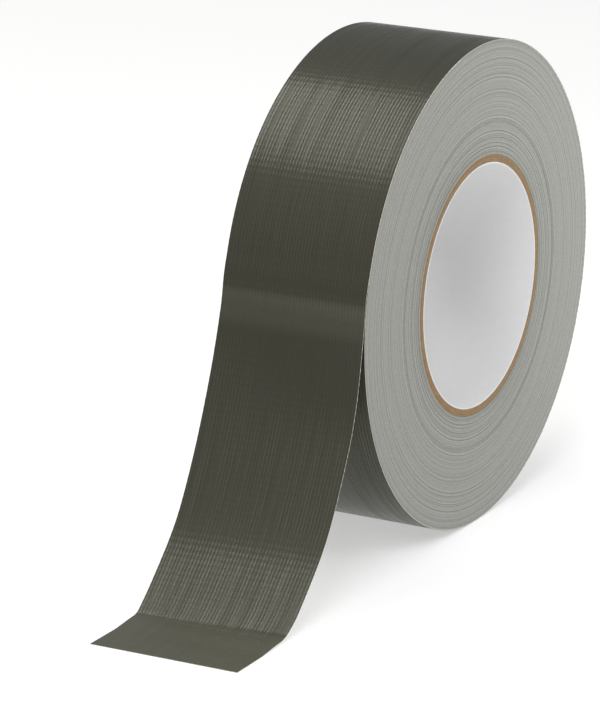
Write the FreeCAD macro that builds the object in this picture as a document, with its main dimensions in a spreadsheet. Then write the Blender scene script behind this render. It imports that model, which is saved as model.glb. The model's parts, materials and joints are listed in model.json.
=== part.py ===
"""Duct tape roll: a spiral-wound paper core, the wound cloth tape, and its free tail.

The origin is the middle of the core's bore.  The core's axis lies along Y, the tail
leaves the roll towards -X, and Z points up, so the roll stands on its rim at
about z = -roll_radius.  All lengths are in millimetres.

The tape is one strip of three layers, and it is cut here into lengths that can move:
  outer_turn   the part of the outermost turn that stays on the roll
  wrap_*       three lengths of that turn which peel off as the tape is pulled
  tail_*       the free tail, in three gentle bends and a foot that lies on the ground
Every length has its own film, cloth and adhesive.
"""
import FreeCAD, Part
import Sketcher
import math
import os

os.makedirs("parts", exist_ok=True)
doc = FreeCAD.newDocument("duct_tape_roll")

# ---------------------------------------------------------------- driving dimensions
DIMENSIONS = [
    ("bore_radius", 38.1, "bore of a 3 inch core"),
    ("liner_wall", 0.4, "white paper liner"),
    ("ply_wall", 0.8, "one kraft board ply"),
    ("roll_radius", 76.5, "outside of the full roll"),
    ("tape_width", 48.0, "nominal 2 inch tape"),
    ("film_wall", 0.08, "polyethylene film"),
    ("cloth_wall", 0.06, "woven cloth"),
    ("adhesive_wall", 0.10, "rubber adhesive"),
    ("wrap_clearance", 0.06, "under the lengths that can peel off"),
    ("hinge_gap", 0.45, "between two lengths that move apart"),
    ("peel_angle", 11.0, "degrees above the level of the core, where the tail starts"),
    ("peel_lift", 0.05, "tail clear of the turn below it"),
    ("wrap_turn", 20.0, "degrees of the roll in each wrap length"),
    ("upper_length", 38.0, "tail, upper length"),
    ("upper_turn", 9.0, "degrees"),
    ("middle_length", 30.0, "tail, middle length"),
    ("middle_turn", 12.0, "degrees"),
    ("lower_turn", 23.0, "degrees, its length follows from the height left"),
    ("crease_radius", 8.0, "bend above the foot"),
    ("foot_length", 24.4, "flat end of the tail"),
]

sheet = doc.addObject("Spreadsheet::Sheet", "Sizes")
for row, (alias, value, meaning) in enumerate(DIMENSIONS, start=1):
    sheet.set(f"A{row}", alias)
    sheet.set(f"B{row}", str(value))
    sheet.set(f"C{row}", meaning)
    sheet.setAlias(f"B{row}", alias)
doc.recompute()


def size(alias):
    """Read one driving dimension back from the sheet."""
    return float(sheet.get(alias))


# The strip's layers, from the sticky face outwards: name, then the sheet expressions
# for how far the layer's inner and outer faces stand from the sticky face.
LAYERS = [
    ("adhesive", "0", "Sizes.adhesive_wall"),
    ("cloth", "Sizes.adhesive_wall", "Sizes.adhesive_wall + Sizes.cloth_wall"),
    (
        "film",
        "Sizes.adhesive_wall + Sizes.cloth_wall",
        "Sizes.adhesive_wall + Sizes.cloth_wall + Sizes.film_wall",
    ),
]
TAPE_WALL = "(Sizes.adhesive_wall + Sizes.cloth_wall + Sizes.film_wall)"
STICKY_RADIUS = f"(Sizes.roll_radius - {TAPE_WALL})"

# Angles turn about +Y: 0 points along +X, 90 straight down, 180 along -X, 270 up.
HALF_TURN = 180.0
STRAIGHT_DOWN = 90.0
PEEL_LINE = HALF_TURN + size("peel_angle")

nodes = []


# ---------------------------------------------------------------- helpers
def placed_body(label, centre_x=0.0, centre_z=0.0, start_angle=0.0):
    """A body whose own X axis points from the bend's centre at start_angle."""
    body = doc.addObject("PartDesign::Body", label)
    body.Label = label
    turned = FreeCAD.Rotation(FreeCAD.Vector(0, 1, 0), start_angle)
    body.Placement = FreeCAD.Placement(FreeCAD.Vector(centre_x, 0, centre_z), turned)
    nodes.append(body)
    return body


def sketch_on(body, name, plane_role):
    """A sketch on one of the body's own origin planes."""
    sketch = body.newObject("Sketcher::SketchObject", name)
    planes = body.Origin.OriginFeatures
    plane = next(item for item in planes if item.Role == plane_role)
    sketch.AttachmentSupport = (plane, [""])
    sketch.MapMode = "FlatFace"
    return sketch


def name_and_bind(sketch, constraint, name, expression):
    """Name a sketch dimension and drive it from the sheet."""
    sketch.renameConstraint(constraint, name)
    sketch.setExpression(f"Constraints.{name}", expression)


def add_circle(sketch, radius, name, expression):
    """A circle on the sketch's origin, its radius driven from the sheet."""
    circle = sketch.addGeometry(Part.Circle(FreeCAD.Vector(), FreeCAD.Vector(0, 0, 1), radius))
    sketch.addConstraint(Sketcher.Constraint("Coincident", circle, 3, -1, 1))
    bound = sketch.addConstraint(Sketcher.Constraint("Radius", circle, radius))
    name_and_bind(sketch, bound, name, expression)
    return circle


def pad_to_tape_width(body, sketch):
    """Extrude a profile both ways from the middle of the tape."""
    pad = body.newObject("PartDesign::Pad", f"{body.Name}_width")
    pad.Profile = sketch
    pad.SideType = "Symmetric"
    pad.setExpression("Length", "Sizes.tape_width")
    sketch.Visibility = False
    return pad


def strip_section(body, inner_expression, outer_expression, second_axis=None):
    """The rectangle that one layer shows where the strip is cut across.

    Its long side lies along Y, at the layer's own distances from the bend's centre.
    second_axis is how far from the centre a second bend axis stands.
    """
    sketch = sketch_on(body, f"{body.Name}_section", "XY_Plane")
    half_width = size("tape_width") / 2
    near, far = 50.0, 51.0
    corners = [
        FreeCAD.Vector(near, -half_width, 0),
        FreeCAD.Vector(far, -half_width, 0),
        FreeCAD.Vector(far, half_width, 0),
        FreeCAD.Vector(near, half_width, 0),
    ]
    for index in range(4):
        sketch.addGeometry(Part.LineSegment(corners[index], corners[(index + 1) % 4]))
    for index in range(4):
        sketch.addConstraint(Sketcher.Constraint("Coincident", index, 2, (index + 1) % 4, 1))
    sketch.addConstraint(Sketcher.Constraint("Horizontal", 0))
    sketch.addConstraint(Sketcher.Constraint("Horizontal", 2))
    sketch.addConstraint(Sketcher.Constraint("Vertical", 3))
    sketch.addConstraint(Sketcher.Constraint("Symmetric", 1, 1, 1, 2, -1))
    width = sketch.addConstraint(Sketcher.Constraint("DistanceY", 1, 1, 1, 2, 2 * half_width))
    outer = sketch.addConstraint(Sketcher.Constraint("DistanceX", -1, 1, 0, 2, far))
    inner = sketch.addConstraint(Sketcher.Constraint("DistanceX", -1, 1, 0, 1, near))
    name_and_bind(sketch, width, "width", "Sizes.tape_width")
    name_and_bind(sketch, outer, "outer", outer_expression)
    name_and_bind(sketch, inner, "inner", inner_expression)
    if second_axis:
        low = FreeCAD.Vector(1, -half_width, 0)
        high = FreeCAD.Vector(1, half_width, 0)
        line = sketch.addGeometry(Part.LineSegment(low, high), True)
        sketch.addConstraint(Sketcher.Constraint("Symmetric", line, 1, line, 2, -1))
        tall = sketch.addConstraint(Sketcher.Constraint("DistanceY", line, 1, line, 2, 2 * half_width))
        name_and_bind(sketch, tall, "axis_height", "Sizes.tape_width")
        offset = sketch.addConstraint(Sketcher.Constraint("DistanceX", -1, 1, line, 1, 1))
        name_and_bind(sketch, offset, "second_axis", second_axis)
    return sketch


def bend(body, sketch, axis, angle_expression, backwards=False):
    """Sweep a strip section round one bend axis of its sketch."""
    suffix = "back" if backwards else "bend"
    revolution = body.newObject("PartDesign::Revolution", f"{body.Name}_{suffix}")
    revolution.Profile = sketch
    revolution.ReferenceAxis = (sketch, [axis])
    revolution.Reversed = backwards
    revolution.setExpression("Angle", angle_expression)
    sketch.Visibility = False
    return revolution


def trim_degrees(radius):
    """How far half the hinge gap reaches round a bend, in degrees."""
    return math.degrees(size("hinge_gap") / 2 / radius)


# ---------------------------------------------------------------- core
CORE_RINGS = ["core_liner", "core_ply_inner", "core_ply_middle", "core_ply_outer"]


def core_ring_radius(index):
    """Sheet expression for the inside of the core's ring with this number."""
    if index == 0:
        return "Sizes.bore_radius"
    return f"Sizes.bore_radius + Sizes.liner_wall + {index - 1} * Sizes.ply_wall"


for index, label in enumerate(CORE_RINGS):
    ring = placed_body(label)
    profile = sketch_on(ring, f"{label}_profile", "XZ_Plane")
    add_circle(profile, size("bore_radius"), "inside", core_ring_radius(index))
    add_circle(profile, size("bore_radius") + 1, "outside", core_ring_radius(index + 1))
    pad_to_tape_width(ring, profile)

CORE_OUTSIDE = core_ring_radius(len(CORE_RINGS))


# ---------------------------------------------------------------- wound tape
# A two-centre spiral: half a turn about the core's axis, then half a turn about a
# point half a tape's thickness away, so that the surface drops by one thickness in a
# full turn and ends in a step under the peel line.
pack = placed_body("wound_tape", start_angle=PEEL_LINE)
outline = sketch_on(pack, "wound_tape_outline", "XZ_Plane")
pack_radius = size("roll_radius") - 1
upright = FreeCAD.Vector(0, 0, 1)
first_circle = Part.Circle(FreeCAD.Vector(), upright, pack_radius)
second_circle = Part.Circle(FreeCAD.Vector(-0.1, 0, 0), upright, pack_radius - 0.1)
first_half = outline.addGeometry(Part.ArcOfCircle(first_circle, math.pi, 2 * math.pi))
second_half = outline.addGeometry(Part.ArcOfCircle(second_circle, 0, math.pi))
step = outline.addGeometry(
    Part.LineSegment(FreeCAD.Vector(pack_radius, 0, 0), FreeCAD.Vector(pack_radius - 0.2, 0, 0))
)
for constraint in [
    Sketcher.Constraint("Coincident", first_half, 3, -1, 1),
    Sketcher.Constraint("PointOnObject", second_half, 3, -1),
    Sketcher.Constraint("Coincident", first_half, 1, second_half, 2),
    Sketcher.Constraint("Coincident", first_half, 2, step, 1),
    Sketcher.Constraint("Coincident", second_half, 1, step, 2),
    Sketcher.Constraint("PointOnObject", step, 1, -1),
    Sketcher.Constraint("PointOnObject", first_half, 1, -1),
    Sketcher.Constraint("Horizontal", step),
]:
    outline.addConstraint(constraint)
outer = outline.addConstraint(Sketcher.Constraint("Radius", first_half, pack_radius))
name_and_bind(outline, outer, "outer", f"{STICKY_RADIUS} - Sizes.wrap_clearance")
shift = outline.addConstraint(Sketcher.Constraint("DistanceX", second_half, 3, -1, 1, 0.1))
name_and_bind(outline, shift, "shift", f"{TAPE_WALL} / 2")
add_circle(outline, size("bore_radius") + 2, "inside", CORE_OUTSIDE)
pad_to_tape_width(pack, outline)


# ---------------------------------------------------------------- outermost turn
# Its section is drawn opposite the peel line, where the spiral's two halves meet: one
# bend runs back to the wraps, and the other on round the bottom to the peel line.
WRAPS = ["wrap_front", "wrap_middle", "wrap_rear"]
roll_trim = trim_degrees(size("roll_radius"))

for layer, inner_face, outer_face in LAYERS:
    turn = placed_body(f"outer_turn_{layer}", start_angle=size("peel_angle"))
    section = strip_section(
        turn,
        f"{STICKY_RADIUS} + {inner_face}",
        f"{STICKY_RADIUS} + {outer_face}",
        second_axis=f"{TAPE_WALL} / 2",
    )
    on_top = f"{HALF_TURN} - {len(WRAPS)} * Sizes.wrap_turn - {roll_trim}"
    bend(turn, section, "V_Axis", on_top, backwards=True)
    bend(turn, section, "Axis0", f"{HALF_TURN} - {roll_trim}")

for index, wrap in enumerate(WRAPS):
    for layer, inner_face, outer_face in LAYERS:
        start = PEEL_LINE + index * size("wrap_turn") + roll_trim
        strip = placed_body(f"{wrap}_{layer}", start_angle=start)
        section = strip_section(
            strip, f"{STICKY_RADIUS} + {inner_face}", f"{STICKY_RADIUS} + {outer_face}"
        )
        bend(strip, section, "V_Axis", f"Sizes.wrap_turn - {2 * roll_trim}")


# ---------------------------------------------------------------- free tail
# heading is the tail's slope, in degrees out from straight down.  A bend's centre lies
# on the film side of the tape, so the sticky face is the far side of the strip.
tape_wall = size("adhesive_wall") + size("cloth_wall") + size("film_wall")


def point_on_bend(centre, radius, heading):
    """The point of the sticky face where a bend has this heading."""
    slope = math.radians(heading)
    return centre[0] + radius * math.cos(slope), centre[1] - radius * math.sin(slope)


def centre_of_bend(point, radius, heading):
    """The centre of a bend that passes through a point with this heading."""
    slope = math.radians(heading)
    return point[0] - radius * math.cos(slope), point[1] + radius * math.sin(slope)


def drop_of_bend(radius, heading, turn):
    """How far down a bend takes the tail."""
    return radius * (math.sin(math.radians(heading + turn)) - math.sin(math.radians(heading)))


upper_radius = size("upper_length") / math.radians(size("upper_turn"))
middle_radius = size("middle_length") / math.radians(size("middle_turn"))
middle_heading = size("peel_angle") + size("upper_turn")
lower_heading = middle_heading + size("middle_turn")
crease_heading = lower_heading + size("lower_turn")
crease_turn = STRAIGHT_DOWN - crease_heading

# The roll rests on the second half of its spiral, whose centre lies a little below the
# core's.  The lower length's radius is what brings the foot down to the same ground.
spiral_drop = tape_wall / 2 * math.sin(math.radians(size("peel_angle")))
ground_level = -(size("roll_radius") - tape_wall / 2) - spiral_drop
peel_radius = size("roll_radius") - tape_wall + size("peel_lift")
peel_point = centre_of_bend((0.0, 0.0), peel_radius, size("peel_angle"))
height_left = (
    peel_point[1]
    - ground_level
    - drop_of_bend(upper_radius, size("peel_angle"), size("upper_turn"))
    - drop_of_bend(middle_radius, middle_heading, size("middle_turn"))
    - drop_of_bend(size("crease_radius"), crease_heading, crease_turn)
)
lower_radius = height_left / drop_of_bend(1.0, lower_heading, size("lower_turn"))

TAIL_BENDS = [
    ("tail_upper", upper_radius, "upper_turn", "Sizes.upper_length * 180 / pi / Sizes.upper_turn"),
    ("tail_middle", middle_radius, "middle_turn", "Sizes.middle_length * 180 / pi / Sizes.middle_turn"),
    ("tail_lower", lower_radius, "lower_turn", str(lower_radius)),
]

point = peel_point
heading = size("peel_angle")
for part_of_tail, radius, turn_alias, radius_expression in TAIL_BENDS:
    centre = centre_of_bend(point, radius, heading)
    trim = trim_degrees(radius)
    for layer, inner_face, outer_face in LAYERS:
        strip = placed_body(f"{part_of_tail}_{layer}", *centre, heading + trim)
        section = strip_section(
            strip,
            f"{radius_expression} - ({outer_face})",
            f"{radius_expression} - ({inner_face})",
        )
        bend(strip, section, "V_Axis", f"Sizes.{turn_alias} - {2 * trim}")
    heading += size(turn_alias)
    point = point_on_bend(centre, radius, heading)
    print(f"{part_of_tail}: bend radius {radius:.2f}, ends at {point[0]:.2f}, {point[1]:.2f}")

# The foot is the crease and the flat length past it.  Its section is drawn where the two
# meet, straight under the crease's centre.
crease_centre = centre_of_bend(point, size("crease_radius"), heading)
crease_trim = trim_degrees(size("crease_radius"))
for layer, inner_face, outer_face in LAYERS:
    foot = placed_body(f"tail_foot_{layer}", *crease_centre, STRAIGHT_DOWN)
    section = strip_section(
        foot,
        f"Sizes.crease_radius - ({outer_face})",
        f"Sizes.crease_radius - ({inner_face})",
    )
    bend(foot, section, "V_Axis", str(crease_turn - crease_trim), backwards=True)
    flat = foot.newObject("PartDesign::Pad", f"{foot.Name}_flat")
    flat.Profile = section
    flat.Reversed = True
    flat.setExpression("Length", "Sizes.foot_length")


# ---------------------------------------------------------------- checks and export
doc.recompute()

for item in doc.Objects:
    if "Invalid" in item.State or "Error" in item.State:
        raise RuntimeError(f"{item.Name} failed: {item.State}")

for node in nodes:
    shape = node.Shape
    if shape.isNull() or not shape.isValid() or len(shape.Solids) != 1:
        raise RuntimeError(f"{node.Label} is not one valid solid")

for node in nodes:
    node.Shape.exportStep(f"parts/{node.Label}.step")
    box = node.Shape.BoundBox
    print(
        f"{node.Label:22s} {node.Shape.Volume:10.1f} mm3"
        f"  x {box.XMin:8.2f} {box.XMax:8.2f}  z {box.ZMin:8.2f} {box.ZMax:8.2f}"
    )
print(f"{len(nodes)} nodes")
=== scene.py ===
# %% [markdown]
# # A roll of duct tape, standing on its rim
#
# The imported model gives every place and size.  This lesson dresses it: the paper core,
# the wound turns with their slit edges, the outermost turn and the tail that hangs from
# it.  First come the frame and the few measures that everything else is worked out from.
# The tail's bends are read from its hinges: each hinge lies on the tape, and a bend
# between two hinges is the one arc that leaves the first at the slope already reached.

# %% The frame and its measures
import bpy
import json
import math
import random
from mathutils import Matrix, Vector


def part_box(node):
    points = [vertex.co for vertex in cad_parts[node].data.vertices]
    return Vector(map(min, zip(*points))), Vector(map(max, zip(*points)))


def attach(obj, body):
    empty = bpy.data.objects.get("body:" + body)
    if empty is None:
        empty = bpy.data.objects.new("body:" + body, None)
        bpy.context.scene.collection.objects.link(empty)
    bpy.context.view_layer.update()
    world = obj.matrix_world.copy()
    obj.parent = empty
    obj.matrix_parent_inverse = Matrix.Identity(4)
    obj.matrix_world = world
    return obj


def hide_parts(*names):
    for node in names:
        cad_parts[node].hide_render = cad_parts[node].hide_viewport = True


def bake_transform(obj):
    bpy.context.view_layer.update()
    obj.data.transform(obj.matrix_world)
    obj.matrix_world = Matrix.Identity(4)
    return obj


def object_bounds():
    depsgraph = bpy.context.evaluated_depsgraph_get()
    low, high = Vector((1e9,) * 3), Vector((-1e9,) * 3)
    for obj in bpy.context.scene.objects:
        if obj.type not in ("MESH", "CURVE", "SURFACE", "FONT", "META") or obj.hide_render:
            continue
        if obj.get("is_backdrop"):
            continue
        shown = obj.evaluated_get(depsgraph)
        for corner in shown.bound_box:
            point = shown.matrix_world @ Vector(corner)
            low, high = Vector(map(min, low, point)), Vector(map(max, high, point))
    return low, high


MM = 0.001
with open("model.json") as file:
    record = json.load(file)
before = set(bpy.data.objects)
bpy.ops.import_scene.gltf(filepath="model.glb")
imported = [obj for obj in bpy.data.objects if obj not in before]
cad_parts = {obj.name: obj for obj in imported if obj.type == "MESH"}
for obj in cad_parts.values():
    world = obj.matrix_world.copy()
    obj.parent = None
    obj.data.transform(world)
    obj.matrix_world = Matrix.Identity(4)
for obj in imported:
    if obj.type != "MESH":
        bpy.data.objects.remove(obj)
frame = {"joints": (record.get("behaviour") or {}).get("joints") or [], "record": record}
cad_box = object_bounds()

hinge = {joint["name"]: Vector(joint["pos_m"]) for joint in frame["joints"]}
ground = cad_box[0].z
film_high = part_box("outer_turn_film")[1]
half_width = film_high.y
roll_radius = film_high.x
bore_radius = frame["record"]["mounts"][0]["dims"]["r_mm"] * MM
core_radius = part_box("core_ply_outer")[1].x
tape_wall = 2 * (roll_radius - hinge["unwind_rear"].xz.length)
film_wall = roll_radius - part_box("outer_turn_cloth")[1].x
adhesive_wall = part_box("outer_turn_adhesive")[1].x - (roll_radius - tape_wall)
peel_slope = math.atan2(hinge["tail_lift"].z, -hinge["tail_lift"].x)
print(f"roll {2 * roll_radius / MM:.1f} mm across, tape {2 * half_width / MM:.1f} mm wide")
print(f"tape {tape_wall / MM:.2f} mm thick, film {film_wall / MM:.2f} mm of it")

# %% [markdown]
# Operators act on whatever is selected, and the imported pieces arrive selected, so
# everything is deselected before a primitive is added.

# %% Selecting
def deselect():
    """Nothing selected, so that an operator can only touch the new piece."""
    if bpy.context.object and bpy.context.object.mode == "EDIT":
        bpy.ops.object.mode_set(mode="OBJECT")
    for item in bpy.context.selected_objects:
        item.select_set(False)


def make_active(piece):
    """Select one piece alone."""
    deselect()
    piece.select_set(True)
    bpy.context.view_layer.objects.active = piece


print("selected now:", len(bpy.context.selected_objects))

# %% [markdown]
# Colours are written as the sRGB hex values that a paint program shows, and one function
# turns them linear.  A material is a small network of nodes: one function adds a node with
# its settings, the values of its free inputs and what feeds the others.

# %% Colours and nodes
def linear(hex_colour):
    """An sRGB hex colour as the linear RGBA that Blender's sockets hold."""
    channels = [int(hex_colour[i : i + 2], 16) / 255 for i in (1, 3, 5)]
    return [c / 12.92 if c < 0.04045 else ((c + 0.055) / 1.055) ** 2.4 for c in channels] + [1.0]


def add_node(material, kind, values=(), links=(), **settings):
    """Add one node: its settings, its unlinked inputs, and what feeds the others."""
    node = material.node_tree.nodes.new(kind)
    for name, value in settings.items():
        setattr(node, name, value)
    for name, value in dict(values).items():
        node.inputs[name].default_value = value
    for name, source in dict(links).items():
        material.node_tree.links.new(source, node.inputs[name])
    return node


def new_material(name):
    """An empty material and its shader."""
    material = bpy.data.materials.new(name)
    material.use_nodes = True
    return material, material.node_tree.nodes["Principled BSDF"]


def link(material, source, target):
    """Feed a node's output into an input."""
    material.node_tree.links.new(source, target)


def dress(piece, material):
    """Give a piece its finish."""
    piece.data.materials.clear()
    piece.data.materials.append(material)


print("linear grey of #808080:", round(linear("#808080")[0], 3))

# %% [markdown]
# ## The camera and the studio
#
# A product on white is seen with a long lens, so that its rings stay round and its edges
# nearly parallel.  This camera stands at the roll's front left, a little above it.  It is
# aimed by three axes of its own, right, up and towards itself, which make its rotation
# without any tracking constraint.

# %% Camera
VIEW_AZIMUTH = math.radians(-61.21)
VIEW_ELEVATION = math.radians(16.82)
VIEW_ROLL = math.radians(0.31)
VIEW_DISTANCE = 1.2715
LONG_SIDE_IN_FOCAL_LENGTHS = 0.17213
AIM_RIGHT, AIM_UP = -0.03468, -0.02382

towards_camera = Vector((
    math.sin(VIEW_AZIMUTH) * math.cos(VIEW_ELEVATION),
    -math.cos(VIEW_AZIMUTH) * math.cos(VIEW_ELEVATION),
    math.sin(VIEW_ELEVATION),
))
level_right = Vector((math.cos(VIEW_AZIMUTH), math.sin(VIEW_AZIMUTH), 0))
level_up = towards_camera.cross(level_right)
view_right = math.cos(VIEW_ROLL) * level_right + math.sin(VIEW_ROLL) * level_up
view_up = -math.sin(VIEW_ROLL) * level_right + math.cos(VIEW_ROLL) * level_up

deselect()
bpy.ops.object.camera_add(
    location=towards_camera * VIEW_DISTANCE + view_right * AIM_RIGHT + view_up * AIM_UP
)
camera = bpy.context.object
camera.name = "camera"
view_axes = Matrix((view_right, view_up, towards_camera)).transposed()
camera.rotation_mode = "QUATERNION"
camera.rotation_quaternion = view_axes.to_quaternion()
camera.data.lens = camera.data.sensor_width / LONG_SIDE_IN_FOCAL_LENGTHS
camera.data.clip_start = 0.05
camera.data.clip_end = 30
bpy.context.scene.camera = camera
print(f"lens {camera.data.lens:.0f} mm at {camera.location.length:.2f} m")

# %% [markdown]
# The floor is white backdrop paper that runs on far behind the object.  Lit paper alone
# is either grey or washes its shadow out, so it glows a little by itself: the soft light
# then only has to add the last part, and the shadow under the roll stays pale but clear.

# %% Floor
FLOOR_SIZE = 12.0
FLOOR_GLOW = 0.48
deselect()
bpy.ops.mesh.primitive_plane_add(size=FLOOR_SIZE, location=(0, 0, ground))
floor = bpy.context.object
floor.name = "floor"
floor_paper, shader = new_material("white_backdrop_paper")
shader.inputs["Base Color"].default_value = linear("#cccccc")
shader.inputs["Roughness"].default_value = 0.9
shader.inputs["Specular IOR Level"].default_value = 0.1
shader.inputs["Emission Color"].default_value = linear("#ffffff")
shader.inputs["Emission Strength"].default_value = FLOOR_GLOW
floor.data.materials.append(floor_paper)
floor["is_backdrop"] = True
print(f"floor at {ground / MM:.1f} mm, glow {FLOOR_GLOW}")


# %% [markdown]
# Glossy tape is lit by what it reflects.  One large, narrow soft box hangs over the
# roll's far side, and its reflection is the bright band high on the roll; the tail has the
# same slope again above its foot, and repeats that band there.  Two lamps on the tape's
# own side lift the film's dark olive a little.  One lamp in front of the roll reaches into
# the core's bore, and a small one beside it makes the slit edges brighter to the right.
# The sky of the studio is a plain white that gets a little brighter upwards.

# %% Lights
AIM = Vector((-0.03, 0, -0.01))


def softbox(name, direction, distance, width, depth, power):
    """A rectangular soft light that looks at the middle of the object."""
    place = AIM + Vector(direction).normalized() * distance
    deselect()
    bpy.ops.object.light_add(type="AREA", location=place)
    lamp = bpy.context.object
    lamp.name = name
    lamp.rotation_euler = (place - AIM).to_track_quat("Z", "Y").to_euler()
    lamp.data.shape = "RECTANGLE"
    lamp.data.size = width
    lamp.data.size_y = depth
    lamp.data.energy = power
    print(f"{name}: {power} W at {distance} m")
    return lamp


overhead = softbox("overhead_light", (-0.11, 0.46, 0.88), 1.6, 1.30, 0.40, 8.4)
overhead.data.color = linear("#fffff6")[:3]
softbox("left_light", (-0.75, 0.35, 0.5), 1.6, 0.9, 0.9, 0.6)
softbox("front_light", (-0.9, -0.2, 0.8), 1.6, 0.7, 0.7, 12.5)
softbox("bore_light", (-0.2, -0.8, 0.7), 1.6, 0.5, 0.5, 2.5)
softbox("side_light", (1.0, -0.9, 0.1), 0.42, 0.30, 0.30, 0.9)

world = bpy.data.worlds.new("studio")
bpy.context.scene.world = world
world.use_nodes = True
sky_place = add_node(world, "ShaderNodeTexCoord").outputs["Generated"]
upwards = add_node(world, "ShaderNodeSeparateXYZ", links={"Vector": sky_place}).outputs["Z"]
brightness = add_node(
    world,
    "ShaderNodeMapRange",
    values={"From Min": 0.2, "From Max": 0.9, "To Min": 0.30, "To Max": 0.50},
    links={"Value": upwards},
)
background = world.node_tree.nodes["Background"]
background.inputs["Color"].default_value = linear("#fdfdff")
link(world, brightness.outputs["Result"], background.inputs["Strength"])
bpy.context.scene.view_settings.view_transform = "Standard"


# %% [markdown]
# ## The route of the tape
#
# Tape is a flat strip, so every length of it is made flat and then laid on one route.
# A place on the route is a distance from the peel line: positive down the tail, and
# negative back up the roll, where the route is a spiral that loses one thickness a turn.
# The route runs along the middle of the tape's thickness.  A curve object with a bevel
# could do the same, but its arcs would only come near the hinges; arcs that are worked out
# from the hinges meet them exactly, and the strips then turn at the right places.

# %% The bends of the tail
def bend_between(start, end, slope):
    """Radius and turn of the arc that leaves start at this slope and reaches end."""
    chord = end - start
    chord_slope = math.atan2(-chord.x, -chord.z)
    turn = 2 * (chord_slope - slope)
    return chord.length / (2 * math.sin(turn / 2)), turn


TAIL_HINGES = ["tail_lift", "tail_bend_middle", "tail_bend_lower", "tail_crease"]
STRAIGHT_OUT = math.pi / 2
route = []
distance = 0.0
slope = peel_slope
for name, following in zip(TAIL_HINGES, TAIL_HINGES[1:]):
    radius, turn = bend_between(hinge[name], hinge[following], slope)
    route.append((distance, hinge[name], slope, radius, turn))
    distance += radius * turn
    slope += turn
crease = hinge["tail_crease"]
crease_radius = (crease.z - ground - tape_wall / 2) / (1 - math.sin(slope))
crease_turn = STRAIGHT_OUT - slope
route.append((distance, crease, slope, crease_radius, crease_turn))
crease_start = distance
crease_end = distance + crease_radius * crease_turn
foot_start = crease + Vector((-crease_radius * math.cos(slope), 0, 0))
foot_start.z = ground + tape_wall / 2
tail_length = crease_end + foot_start.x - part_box("tail_foot_film")[0].x
print(f"tail {tail_length / MM:.1f} mm long, foot {(tail_length - crease_end) / MM:.1f} mm")


# %% [markdown]
# Any distance along the tape can now be turned into a point and a slope: on the roll from
# the spiral, on the tail from the arc that it falls in, and beyond the crease from the
# ground.

# %% A point of the route
def route_point(along):
    """The point of the route at this distance, and its slope out from straight down."""
    if along < 0:
        back = -along / (roll_radius - tape_wall)
        radius = roll_radius - tape_wall / 2 - tape_wall * back / (2 * math.pi)
        angle = peel_slope + back
        return Vector((-radius * math.cos(angle), 0, radius * math.sin(angle))), angle
    if along > crease_end:
        return foot_start - Vector((along - crease_end, 0, 0)), STRAIGHT_OUT
    start, point, slope, radius, _ = [bend for bend in route if bend[0] <= along][-1]
    reached = slope + (along - start) / radius
    across = radius * (math.cos(slope) - math.cos(reached))
    down = radius * (math.sin(reached) - math.sin(slope))
    return point - Vector((across, 0, down)), reached


middle_of_tail = route_point(tail_length / 2)[0]
print("middle of the tail at", [round(value / MM, 1) for value in middle_of_tail], "mm")

# %% [markdown]
# A point of the flat strip is then placed by stepping out of the route by its height, and
# sideways by its place across the width.  Real tape is never as true as its arcs.  It lifts
# a little where its adhesive lets go, it is flatter in the middle of the hanging part and
# rounder about the crease, and the tail hangs slightly askew, so two small functions add
# that.

# %% Laying a flat strip on the route
def smooth_step(value, low, high):
    """0 below low and 1 above high, with an even curve between them."""
    share = min(1.0, max(0.0, (value - low) / (high - low)))
    return share * share * (3 - 2 * share)


TAIL_SKEW = 2.3 * MM
FOOT_SKEW = 0.6 * MM
SKEW_GROWS_OVER = 45 * MM
SKEW_ENDS_BEFORE = 6 * MM
SKEW_ENDS_AFTER = 4 * MM
# Each swelling of the tail: its middle along the route, its height and its reach.
BULGES = [
    (0, 0.40 * MM, 9 * MM),
    (33 * MM, -0.40 * MM, 26 * MM),
    (91 * MM, 0.80 * MM, 22 * MM),
    (crease_end, 0.70 * MM, 12 * MM),
]


def skew(along, across):
    """The hanging tail is turned a little: its near edge lies closer to the roll."""
    hanging = TAIL_SKEW * smooth_step(along, 0, SKEW_GROWS_OVER)
    lying = smooth_step(along, crease_start - SKEW_ENDS_BEFORE, crease_end + SKEW_ENDS_AFTER)
    amount = hanging * (1 - lying) + FOOT_SKEW * lying
    return -amount * across / half_width


def bulge(along):
    """How far the tape stands off its route here, outwards."""
    height = 0.0
    for middle, rise, reach in BULGES:
        share = min(1.0, abs(along - middle) / reach)
        height += rise * (1 + math.cos(math.pi * share)) / 2
    return height


def place_on_route(along, across, height):
    """Where a point of the flat strip goes: height is from the middle of the tape."""
    point, slope = route_point(along)
    outwards = Vector((-math.cos(slope), 0, math.sin(slope)))
    return point + outwards * (height + bulge(along)) + Vector((skew(along, across), across, 0))


print("cut end at x", round(place_on_route(tail_length, 0, 0).x / MM, 1), "mm")

# %% [markdown]
# Each length starts as a flat grid, in metres along X and Y, which Solidify gives its
# thickness.  Its UV map is the same two distances, times ten, so a pattern drawn on it
# keeps its real size and runs on from one length to the next.
#
# The cloth in duct tape is a thin scrim.  Its long threads lie 1.08 mm apart and its cross
# threads 2.15 mm, about 23 by 12 to the inch.  The slitting knife leaves each cross thread
# as a blunt stub that stands out of the edge, so the cloth's edge points are pushed out
# in step with the threads, unevenly.

# %% One length of one layer
UV_PER_METRE = 10
INCH = 25.4 * MM
COLUMNS = 24
LONG_THREAD_PITCH = 1.08 * MM
CROSS_THREAD_PITCH = 2.15 * MM
YARN_ENDS = 0.16 * MM


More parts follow.
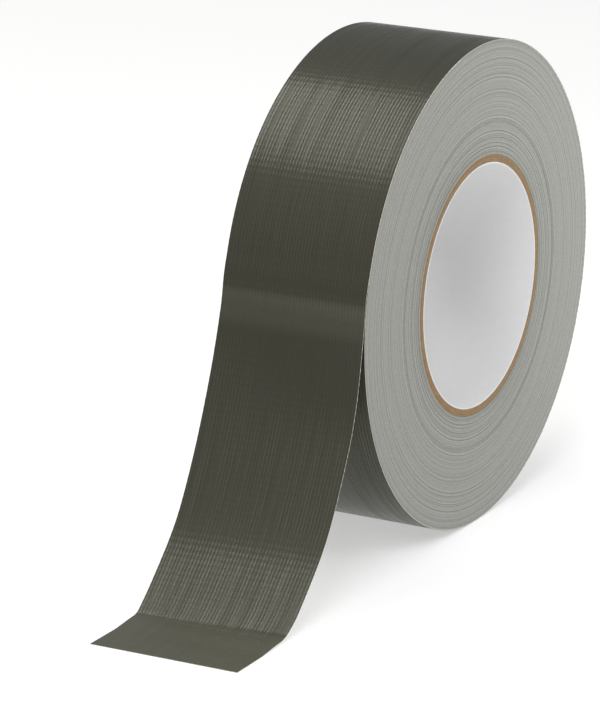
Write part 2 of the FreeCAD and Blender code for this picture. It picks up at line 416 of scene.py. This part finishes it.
def yarn_stub(along):
    """0 to 1 along the slit edge: the cross threads end there in blunt stubs."""
    beat = math.cos(math.pi * along / CROSS_THREAD_PITCH) ** 2
    uneven = 0.7 + 0.3 * math.sin(1.7 * along / MM) * math.cos(0.43 * along / MM)
    return beat * uneven


def flat_strip(name, start, end, low, high, step):
    """A closed flat slab from start to end of the strip, between two heights."""
    deselect()
    bpy.ops.mesh.primitive_grid_add(
        x_subdivisions=round((end - start) / step), y_subdivisions=COLUMNS, size=1
    )
    piece = bpy.context.object
    piece.name = name
    bpy.ops.object.mode_set(mode="EDIT")
    bpy.ops.mesh.select_all(action="SELECT")
    bpy.ops.transform.resize(value=(end - start, 2 * half_width, 1))
    bpy.ops.transform.translate(value=((start + end) / 2, 0, low))
    bpy.ops.object.mode_set(mode="OBJECT")
    wall = piece.modifiers.new("wall", "SOLIDIFY")
    wall.thickness = high - low
    wall.offset = 1
    wall.use_even_offset = False
    bpy.ops.object.modifier_apply(modifier="wall")
    layer = piece.data.uv_layers.active or piece.data.uv_layers.new(name="strip")
    layer.name = "strip"
    for loop in piece.data.loops:
        point = piece.data.vertices[loop.vertex_index].co
        layer.data[loop.index].uv = (point.x * UV_PER_METRE, point.y * UV_PER_METRE)
    return piece


print(f"cloth: {INCH / LONG_THREAD_PITCH:.1f} by {INCH / CROSS_THREAD_PITCH:.1f} threads to the inch")

# %% [markdown]
# Laying the strip is one pass over its points.  Shading is smooth except across the sharp
# edges of the tape.

# %% Laying one strip
EDGE_BAND = 0.1 * MM
SMOOTH_BELOW = math.radians(40)


def lay_on_route(piece, yarn_ends=0.0):
    """Move a flat piece onto the route.  yarn_ends is how far cut yarns stand out of it."""
    for vertex in piece.data.vertices:
        along, across, height = vertex.co
        if abs(across) > half_width - EDGE_BAND:
            across += math.copysign(yarn_ends * yarn_stub(along), across)
        vertex.co = place_on_route(along, across, height)
    piece.data.update()
    make_active(piece)
    bpy.ops.object.shade_smooth_by_angle(angle=SMOOTH_BELOW)
    deselect()
    return piece


print("pieces are smooth below", round(math.degrees(SMOOTH_BELOW)), "degrees")


# %% [markdown]
# ## The finish of the film
#
# The face of duct tape is a polyethylene film, calendered over the cloth: warm rollers
# press the two together, and the cloth prints through.  The long threads stand up as
# ridges, and the cross threads break them into dashes.  The threads are wave textures in
# the strip's own UV map, so their pitch is the real one on every length of tape.  A Blender
# wave repeats every pi / 10 of its coordinates, and the scale is worked out from that.

# %% Threads in the strip's map
WAVE_NODE_PERIOD = math.pi / 10


def strip_coordinates(material, along_scale, across_scale):
    """The strip's UV map, scaled: along and across are in patterns per metre."""
    coordinates = add_node(material, "ShaderNodeUVMap", uv_map="strip")
    return add_node(
        material,
        "ShaderNodeMapping",
        values={"Scale": (along_scale / UV_PER_METRE, across_scale / UV_PER_METRE, 1)},
        links={"Vector": coordinates.outputs["UV"]},
    ).outputs["Vector"]


def distance_along(material):
    """How far along the strip a point is, in metres from the peel line."""
    metres = strip_coordinates(material, 1, 1)
    return add_node(material, "ShaderNodeSeparateXYZ", links={"Vector": metres}).outputs["X"]


def threads(material, pitch, across):
    """The rounded ridges of one set of threads, a pitch apart, as a height from 0 to 1."""
    per_metre = WAVE_NODE_PERIOD / pitch
    return add_node(
        material,
        "ShaderNodeTexWave",
        values={"Scale": 1.0, "Distortion": 0.5, "Detail": 1.0, "Detail Scale": 0.6},
        links={"Vector": strip_coordinates(material, per_metre, per_metre)},
        bands_direction="Y" if across else "X",
    ).outputs["Fac"]


print(f"a thread every {LONG_THREAD_PITCH / MM} mm across and {CROSS_THREAD_PITCH / MM} mm along")

# %% [markdown]
# The rollers don't press evenly.  A slow noise, about 40 mm long and 3 mm wide, says how
# deep the threads are pressed in.  The relief is only hundredths of a millimetre, far too
# fine for the mesh, so it is three bumps, one on the other.

# %% Relief of the print
PRESSED_LONG, PRESSED_WIDE = 26, 380
LONG_RELIEF = 0.026 * MM
CROSS_RELIEF = 0.014 * MM
SLOW_RELIEF = 0.10 * MM


def uneven_pressing(material):
    """A slow noise, pulled out along the tape."""
    return add_node(
        material,
        "ShaderNodeTexNoise",
        values={"Scale": 1.0, "Detail": 3.0, "Roughness": 0.55},
        links={"Vector": strip_coordinates(material, PRESSED_LONG, PRESSED_WIDE)},
        noise_dimensions="2D",
    ).outputs["Fac"]


def film_relief(material, long_threads, cross_threads, pressing):
    """The normals of the film's body and of its polished skin, which has no slow waves."""
    pressed = add_node(
        material,
        "ShaderNodeMapRange",
        values={"From Min": 0.36, "From Max": 0.52, "To Min": 0.15, "To Max": 1.0},
        links={"Value": pressing},
    )
    ridges = add_node(
        material,
        "ShaderNodeMath",
        links={0: long_threads, 1: pressed.outputs["Result"]},
        operation="MULTIPLY",
    )
    long_bump = add_node(
        material,
        "ShaderNodeBump",
        values={"Strength": 1.0, "Distance": LONG_RELIEF},
        links={"Height": ridges.outputs["Value"]},
    )
    cross_bump = add_node(
        material,
        "ShaderNodeBump",
        values={"Strength": 1.0, "Distance": CROSS_RELIEF},
        links={"Height": cross_threads, "Normal": long_bump.outputs["Normal"]},
    )
    slow_bump = add_node(
        material,
        "ShaderNodeBump",
        values={"Strength": 1.0, "Distance": SLOW_RELIEF},
        links={"Height": pressing, "Normal": cross_bump.outputs["Normal"]},
    )
    return slow_bump.outputs["Normal"], cross_bump.outputs["Normal"]


print(f"pressed patches about {1 / PRESSED_LONG / MM:.0f} mm by {1 / PRESSED_WIDE / MM:.1f} mm")

# %% [markdown]
# Handling and winding polish the crests of the threads, so they shine most.  That is a
# clear coat over the satin film, strong on the crests and weak between them.  Where the
# film was pressed lightly it is evenly smooth, and towards the foot the fingers that
# pulled the tail out have evened it too.  A last noise, in long narrow streaks, is the
# rubbing of the turn that lay on top.

# %% Sheen of the film
HANDLED_FROM = crease_start - 24 * MM
EVEN_GLOSS = 0.46


def crest_gloss(material, long_threads, cross_threads):
    """Bright crests, cut into dashes by the cross threads."""
    dashes = add_node(
        material,
        "ShaderNodeMapRange",
        values={"To Min": 0.72, "To Max": 1.0},
        links={"Value": cross_threads},
    )
    crests = add_node(
        material,
        "ShaderNodeMath",
        links={0: long_threads, 1: dashes.outputs["Result"]},
        operation="MULTIPLY",
    )
    polished = add_node(
        material,
        "ShaderNodeMapRange",
        values={"From Min": 0.08, "From Max": 0.78, "To Min": 0.14, "To Max": 1.0},
        links={"Value": crests.outputs["Value"]},
    )
    return polished.outputs["Result"]


def evened(material, pressing):
    """0 where the crests stand clear, towards 1 where pressing or handling evened them."""
    handled = add_node(
        material,
        "ShaderNodeMapRange",
        values={"From Min": HANDLED_FROM, "From Max": crease_start, "To Max": 0.5},
        links={"Value": distance_along(material)},
        interpolation_type="SMOOTHSTEP",
    )
    smooth_patches = add_node(
        material,
        "ShaderNodeMapRange",
        values={"From Min": 0.32, "From Max": 0.47, "To Min": 0.85, "To Max": 0.0},
        links={"Value": pressing},
    )
    return add_node(
        material,
        "ShaderNodeMath",
        links={0: handled.outputs["Result"], 1: smooth_patches.outputs["Result"]},
        operation="MAXIMUM",
    ).outputs["Value"]


def rubbed_streaks(material):
    """Long, narrow streaks that take some of the sheen away."""
    streaks = add_node(
        material,
        "ShaderNodeTexNoise",
        values={"Scale": 1.0, "Detail": 2.0, "Roughness": 0.6},
        links={"Vector": strip_coordinates(material, 14, 560)},
        noise_dimensions="2D",
    )
    return add_node(
        material,
        "ShaderNodeMapRange",
        values={"From Min": 0.30, "From Max": 0.62, "To Min": 0.62, "To Max": 1.10},
        links={"Value": streaks.outputs["Fac"]},
    ).outputs["Result"]


print(f"handled over the last {(tail_length - HANDLED_FROM) / MM:.0f} mm")

# %% [markdown]
# The film is a dark, dull olive.  Just below the peel line a faint paler stripe is painted
# into it, a painted highlight, and the foot, which was bent flat by hand, is painted paler
# still, a painted sheen.  A colour ramp along the tail holds the colours and the places
# where they change.

# %% Colour of the film
FRESH_FILM = "#2b2b25"
# The foot's paler olive is a painted sheen.
FOOT_PAINTED_SHEEN = "#4d4d45"
# Ramp stops: a painted highlight as a faint stripe just below the peel line, then the foot painted
# paler as painted sheen.
FILM_PAINTED_LIGHT = [
    (2 * MM, FRESH_FILM),
    (4 * MM, "#383830"),
    (10 * MM, "#363630"),
    (15 * MM, FRESH_FILM),
    (crease_start, FRESH_FILM),
    (crease_end, FOOT_PAINTED_SHEEN),
]


def film_colour(material):
    """Dark olive, with a painted highlight just below the peel line and painted sheen on the foot."""
    share = add_node(
        material,
        "ShaderNodeMapRange",
        values={"From Min": 0, "From Max": tail_length},
        links={"Value": distance_along(material)},
    )
    tint = add_node(material, "ShaderNodeValToRGB", links={"Fac": share.outputs["Result"]})
    ramp = tint.color_ramp
    ramp.interpolation = "EASE"
    ramp.elements[0].color = linear(FRESH_FILM)
    ramp.elements[1].color = linear(FOOT_PAINTED_SHEEN)
    for place, colour in FILM_PAINTED_LIGHT:
        ramp.elements.new(place / tail_length).color = linear(colour)
    return tint.outputs["Color"]


print("film colours:", len(FILM_PAINTED_LIGHT) + 2, "stops")

# %% [markdown]
# The parts are put together in one material.  Polyethylene bends light by 1.51, and its
# satin comes from a roughness of a half.  The polished skin is a coat with a lower index,
# so that its reflection stays soft, and both reflections are tinted slightly warm, as the
# dull film tints them.

# %% Film
def film_material():
    """Olive polyethylene film, calendered over cloth: satin, with the threads' print."""
    material, shader = new_material("olive_polyethylene_film")
    long_threads = threads(material, LONG_THREAD_PITCH, True)
    cross_threads = threads(material, CROSS_THREAD_PITCH, False)
    pressing = uneven_pressing(material)
    body_normal, skin_normal = film_relief(material, long_threads, cross_threads, pressing)
    gloss = add_node(
        material,
        "ShaderNodeMix",
        values={"B": EVEN_GLOSS},
        links={
            "Factor": evened(material, pressing),
            "A": crest_gloss(material, long_threads, cross_threads),
        },
    )
    sheen = add_node(
        material,
        "ShaderNodeMath",
        links={0: gloss.outputs["Result"], 1: rubbed_streaks(material)},
        operation="MULTIPLY",
        use_clamp=True,
    )
    link(material, film_colour(material), shader.inputs["Base Color"])
    link(material, body_normal, shader.inputs["Normal"])
    link(material, skin_normal, shader.inputs["Coat Normal"])
    link(material, sheen.outputs["Value"], shader.inputs["Coat Weight"])
    shader.inputs["Roughness"].default_value = 0.5
    shader.inputs["IOR"].default_value = 1.51
    shader.inputs["Specular IOR Level"].default_value = 0.32
    shader.inputs["Specular Tint"].default_value = linear("#f6f6dc")
    shader.inputs["Coat Roughness"].default_value = 0.20
    shader.inputs["Coat IOR"].default_value = 1.38
    shader.inputs["Coat Tint"].default_value = linear("#fbfbee")
    return material


film = film_material()
print("film:", len(film.node_tree.nodes), "nodes")

# %% [markdown]
# ## Cloth and adhesive
#
# The cloth shows at the slit edges, as cream stubs of undyed cotton.  Cotton has no gloss,
# and its fuzz is a fine noise between two creams.

# %% Cloth
def cloth_material():
    """Undyed cotton yarn: cream, matt, a little uneven."""
    material, shader = new_material("undyed_cotton_yarn")
    fuzz = add_node(
        material,
        "ShaderNodeTexNoise",
        values={"Scale": 1.0, "Detail": 2.0},
        links={"Vector": strip_coordinates(material, 700, 1500)},
        noise_dimensions="2D",
    )
    tint = add_node(
        material,
        "ShaderNodeMix",
        values={"A": linear("#b5af9e"), "B": linear("#e8e2d0")},
        links={"Factor": fuzz.outputs["Fac"]},
        data_type="RGBA",
    )
    link(material, tint.outputs["Result"], shader.inputs["Base Color"])
    shader.inputs["Roughness"].default_value = 0.85
    shader.inputs["Specular IOR Level"].default_value = 0.2
    return material


cloth = cloth_material()
print("cloth:", cloth.name)

# %% [markdown]
# The adhesive covers the back.  It is grey natural rubber, which takes the square print of
# the cloth from the turn it was rolled on, and it is a little glossy because it is soft.

# %% Adhesive
def adhesive_material():
    """Natural rubber adhesive: grey, tacky, printed with the cloth."""
    material, shader = new_material("grey_rubber_adhesive")
    both = add_node(
        material,
        "ShaderNodeMath",
        links={
            0: threads(material, LONG_THREAD_PITCH, True),
            1: threads(material, CROSS_THREAD_PITCH, False),
        },
        operation="MAXIMUM",
    )
    bump = add_node(
        material,
        "ShaderNodeBump",
        values={"Strength": 0.5, "Distance": 0.12 * MM},
        links={"Height": both.outputs["Value"]},
    )
    link(material, bump.outputs["Normal"], shader.inputs["Normal"])
    tint = add_node(
        material,
        "ShaderNodeMix",
        values={"A": linear("#a9a9a0"), "B": linear("#c9c9c0")},
        links={"Factor": both.outputs["Value"]},
        data_type="RGBA",
    )
    link(material, tint.outputs["Result"], shader.inputs["Base Color"])
    shader.inputs["Roughness"].default_value = 0.42
    shader.inputs["IOR"].default_value = 1.52
    return material


adhesive = adhesive_material()
print("adhesive:", adhesive.name)

# %% [markdown]
# ## The outermost turn and the tail
#
# The strip is cut where its hinges are.  The first length goes right round the roll and
# on beneath the lengths that can peel off, so that pulling them away uncovers more tape.
# Every other length starts at its own hinge.
#
# Each length is three strips, one on the other, as the real laminate is.

# %% Where each length starts
WRAP_HINGES = ["unwind_rear", "unwind_middle", "unwind_front"]
LAYERS = {
    "film": (tape_wall / 2 - film_wall, tape_wall / 2, film, "tape_film"),
    "cloth": (-tape_wall / 2 + adhesive_wall, tape_wall / 2 - film_wall, cloth, "tape_cloth"),
    "adhesive": (-tape_wall / 2, -tape_wall / 2 + adhesive_wall, adhesive, "tape_adhesive"),
}


def distance_on_roll(name):
    """How far before the peel line a hinge of the wrapped part lies."""
    place = hinge[name]
    angle = math.atan2(place.z, -place.x)
    return -(angle - peel_slope) * (roll_radius - tape_wall)


wrap_starts = [distance_on_roll(name) for name in WRAP_HINGES]
tail_starts = [bend[0] for bend in route]
FULL_TURN = 2 * math.pi * (roll_radius - tape_wall)
TUCKED_UNDER = 8 * MM
hidden_start = wrap_starts[0] - FULL_TURN - TUCKED_UNDER
SETTLED_AFTER = 18 * MM
print("lengths start at", [round(start / MM) for start in wrap_starts + tail_starts], "mm")

# %% [markdown]
# The upper tail settles quickly: it leaves the roll over its first 18 mm, as a strip held
# down by its adhesive does.  The foot has the tightest bend, so its mesh is finer.

# %% The lengths of tape
LENGTHS = [
    ("wrap_rear", "roll", wrap_starts[0], wrap_starts[1], wrap_starts[1]),
    ("wrap_middle", "wrap_rear", wrap_starts[1], wrap_starts[2], wrap_starts[2]),
    ("wrap_front", "wrap_middle", wrap_starts[2], 0.0, 0.0),
    ("tail_upper", "wrap_front", 0.0, tail_starts[1], SETTLED_AFTER),
    ("tail_middle", "tail_upper", tail_starts[1], tail_starts[2], tail_starts[2]),
    ("tail_lower", "tail_middle", tail_starts[2], tail_starts[3], tail_starts[3]),
    ("tail_foot", "tail_lower", tail_starts[3], tail_length, crease_end),
]
MESH_STEP = 0.5 * MM
FOOT_MESH_STEP = 0.3 * MM


def laminate(name, start, end):
    """The three layers of one length of tape, laid on the route."""
    step = FOOT_MESH_STEP if name == "tail_foot" else MESH_STEP
    strips = {}
    for layer, (low, high, finish, slot_name) in LAYERS.items():
        strip = flat_strip(f"{name}_{layer}_strip", start, end, low, high, step)
        lay_on_route(strip, YARN_ENDS if layer == "cloth" else 0)
        dress(strip, finish)
        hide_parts(f"{name}_{layer}")
        strips[layer] = strip
    print(f"{name}: {(end - start) / MM:.1f} mm of tape")
    return strips.values()


for strip in laminate("outer_turn", hidden_start, wrap_starts[0]):
    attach(strip, "roll")

for body, before, start, end, settled in LENGTHS:
    for strip in laminate(body, start, end):
        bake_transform(strip)

# %% [markdown]
# ## The wound turns
#
# On the roll's side every turn shows its slit edge.  No two turns lie quite in one plane,
# so the side is a field of fine steps, and a few turns lie deeper, mostly near the core.
# A stack of 147 rings would do, but a lathe makes it in one: a profile with two points a
# turn, drawn by extruding a single vertex, and spun round the core's axis.  Spinning can
# leave the shape inside out, so its doubles are merged and its normals made consistent.

# %% Lathe
TOUCHING = 0.002 * MM
TURNED_SMOOTH_BELOW = math.radians(35)


def lathe(name, profile, steps):
    """Spin a closed profile of (radius, y) points round the core's axis."""
    deselect()
    bpy.ops.mesh.primitive_plane_add(size=MM)
    piece = bpy.context.object
    piece.name = name
    bpy.ops.object.mode_set(mode="EDIT")
    bpy.ops.mesh.merge(type="CENTER")
    bpy.ops.mesh.select_all(action="SELECT")
    first = profile[0]
    bpy.ops.transform.translate(value=(first[0], first[1], 0))
    for (radius, y), (next_radius, next_y) in zip(profile, profile[1:]):
        move = (next_radius - radius, next_y - y, 0)
        bpy.ops.mesh.extrude_vertices_move(TRANSFORM_OT_translate={"value": move})
    bpy.ops.mesh.select_all(action="SELECT")
    bpy.ops.mesh.spin(steps=steps, angle=2 * math.pi, center=(0, 0, 0), axis=(0, 1, 0))
    bpy.ops.mesh.select_all(action="SELECT")
    bpy.ops.mesh.remove_doubles(threshold=TOUCHING)
    bpy.ops.mesh.normals_make_consistent(inside=False)
    bpy.ops.object.mode_set(mode="OBJECT")
    bpy.ops.object.shade_smooth_by_angle(angle=TURNED_SMOOTH_BELOW)
    deselect()
    print(f"{name}: {len(piece.data.polygons)} faces")
    return piece


# %% [markdown]
# The drift of the winding is a running sum that forgets a quarter of itself each turn, and
# a little scatter is added to it.  A few turns were wound loosely and lie deeper.

# %% Profile of the wound turns
PACK_RADIUS = roll_radius - 1.6 * tape_wall
TURNS = round((PACK_RADIUS - core_radius) / tape_wall)
TURN_PITCH = (PACK_RADIUS - core_radius) / TURNS
EDGE_OF_TURN = 0.12 * TURN_PITCH
DRIFT_KEPT = 0.75
DRIFT = 0.015 * MM
SCATTER = 0.012 * MM
LOOSE_LEAST, LOOSE_MOST = 0.06 * MM, 0.18 * MM
LOOSE_ANYWHERE, LOOSE_NEAR_CORE = 0.02, 0.35
PACK_CORNER = 0.3 * MM
dice = random.Random(7)


def slit_edges(side):
    """Two points a turn, from the core outwards, on one side of the roll."""
    points = []
    drift = 0.0
    for turn in range(TURNS):
        drift = DRIFT_KEPT * drift + dice.uniform(0, DRIFT)
        depth = drift + dice.uniform(0, SCATTER)
        near_core = (1 - turn / TURNS) ** 2
        if dice.random() < LOOSE_ANYWHERE + LOOSE_NEAR_CORE * near_core:
            depth += dice.uniform(LOOSE_LEAST, LOOSE_MOST) * (0.3 + 0.7 * near_core)
        y = side * (half_width - depth)
        start = core_radius + turn * TURN_PITCH
        points.append((start + EDGE_OF_TURN, y))
        points.append((start + TURN_PITCH - EDGE_OF_TURN, y))
    return points


front_edges = slit_edges(-1)
rear_edges = slit_edges(1)
corner_y = half_width - PACK_CORNER
pack_profile = (
    [(core_radius, -corner_y)]
    + front_edges
    + [(PACK_RADIUS, -corner_y), (PACK_RADIUS, corner_y)]
    + rear_edges[::-1]
    + [(core_radius, corner_y), (core_radius, -corner_y)]
)
pack = lathe("wound_turns", pack_profile, 120)
print(f"{TURNS} turns, {TURN_PITCH / MM:.3f} mm apart")

# %% [markdown]
# A slit edge is film, cloth and rubber pressed together: grey-green and matt.  The rings
# are a noise along the radius alone, so each turn keeps its own grey all the way round.
# Its one dimension is the radius counted in turns.  A fine speckle is the cut threads.

# %% Slit edges
def slit_edge_material():
    """Slit edges of film, cloth and rubber pressed together: grey-green, matt, ringed."""
    material, shader = new_material("slit_tape_edges")
    position = add_node(material, "ShaderNodeTexCoord").outputs["Object"]
    place = add_node(material, "ShaderNodeSeparateXYZ", links={"Vector": position})
    flat = add_node(
        material,
        "ShaderNodeCombineXYZ",
        links={"X": place.outputs["X"], "Y": place.outputs["Z"]},
    )
    radius = add_node(
        material,
        "ShaderNodeVectorMath",
        links={"Vector": flat.outputs["Vector"]},
        operation="LENGTH",
    )
    turn = add_node(
        material,
        "ShaderNodeMath",
        values={1: TURN_PITCH},
        links={0: radius.outputs["Value"]},
        operation="DIVIDE",
    )
    fine = add_node(
        material,
        "ShaderNodeTexNoise",
        values={"Scale": 0.45, "Detail": 4.0, "Roughness": 0.75},
        links={"W": turn.outputs["Value"]},
        noise_dimensions="1D",
    )
    specks = add_node(
        material,
        "ShaderNodeTexNoise",
        values={"Scale": 2200.0, "Detail": 1.0},
        links={"Vector": position},
    )
    tint = add_node(material, "ShaderNodeValToRGB", links={"Fac": fine.outputs["Fac"]})
    ramp = tint.color_ramp
    ramp.elements[0].position = 0.30
    ramp.elements[0].color = linear("#70716b")
    ramp.elements[1].position = 0.68
    ramp.elements[1].color = linear("#9fa09a")
    speck_grey = add_node(
        material,
        "ShaderNodeMapRange",
        values={"From Min": 0.35, "From Max": 0.65},
        links={"Value": specks.outputs["Fac"]},
    )
    speckled = add_node(
        material,
        "ShaderNodeMix",
        values={"Factor": 0.08},
        links={"A": tint.outputs["Color"], "B": speck_grey.outputs["Result"]},
        data_type="RGBA",
        blend_type="OVERLAY",
    )
    link(material, speckled.outputs["Result"], shader.inputs["Base Color"])
    shader.inputs["Roughness"].default_value = 0.7
    shader.inputs["Specular IOR Level"].default_value = 0.3
    return material


slit_edge = slit_edge_material()
dress(pack, slit_edge)
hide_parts("wound_tape")
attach(pack, "roll")
print("slit edges on", pack.name)

# %% [markdown]
# ## The core
#
# The core is paper, wound in a spiral like the cardboard tube that it is: three plies of
# brown kraft board, and a white liner on the inside.  Their cut ends show as a thin tan
# ring.  Paper is matt, with fibres that vary its colour and its surface a little.

# %% Board and paper
def paper_material(name, dark, light, roughness, grain):
    """Paper or board: matt, with fibres that catch a little light."""
    material, shader = new_material(name)
    position = add_node(material, "ShaderNodeTexCoord").outputs["Object"]
    fibres = add_node(
        material,
        "ShaderNodeTexNoise",
        values={"Scale": grain, "Detail": 4.0, "Roughness": 0.6},
        links={"Vector": position},
    )
    tint = add_node(
        material,
        "ShaderNodeMix",
        values={"A": linear(dark), "B": linear(light)},
        links={"Factor": fibres.outputs["Fac"]},
        data_type="RGBA",
    )
    bump = add_node(
        material,
        "ShaderNodeBump",
        values={"Strength": 0.15, "Distance": 0.05 * MM},
        links={"Height": fibres.outputs["Fac"]},
    )
    link(material, tint.outputs["Result"], shader.inputs["Base Color"])
    link(material, bump.outputs["Normal"], shader.inputs["Normal"])
    shader.inputs["Roughness"].default_value = roughness
    shader.inputs["Specular IOR Level"].default_value = 0.3
    return material


kraft = paper_material("kraft_board", "#725b3e", "#9c825f", 0.85, 900)
liner_paper = paper_material("white_liner_paper", "#d4d4d5", "#dbdbdc", 0.6, 400)

print("core finishes:", kraft.name, liner_paper.name)

# %% [markdown]
# Each tube is turned on the same lathe with its corners broken, and each ends at a slightly
# different depth, as a knife leaves them.

# %% Core tubes
BROKEN_CORNER = 0.08 * MM
CORE_TUBES = [
    ("core_liner", liner_paper, "core_liner_paper", 0.00),
    ("core_ply_inner", kraft, "kraft_board", 0.06),
    ("core_ply_middle", kraft, "kraft_board", 0.02),
    ("core_ply_outer", kraft, "kraft_board", 0.10),
]


def ring_profile(inside, outside, half, edge):
    """A tube's section with its four corners broken by the width of edge."""
    return [
        (inside, -half + edge),
        (inside + edge, -half),
        (outside - edge, -half),
        (outside, -half + edge),
        (outside, half - edge),
        (outside - edge, half),
        (inside + edge, half),
        (inside, half - edge),
        (inside, -half + edge),
    ]


tube_inside = bore_radius
for node, finish, slot_name, short_by in CORE_TUBES:
    tube_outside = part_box(node)[1].x
    section = ring_profile(tube_inside, tube_outside, half_width - short_by * MM, BROKEN_CORNER)
    tube = lathe(f"{node}_tube", section, 160)
    dress(tube, finish)
    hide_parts(node)
    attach(tube, "roll")
    tube_inside = tube_outside
print("core:", len(CORE_TUBES), "tubes")

# %% Sizes
visual_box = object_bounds()
past_low = max(cad_box[0] - visual_box[0])
past_high = max(visual_box[1] - cad_box[1])
print(f"past the packed box by {max(past_low, past_high) / MM:.2f} mm at most")
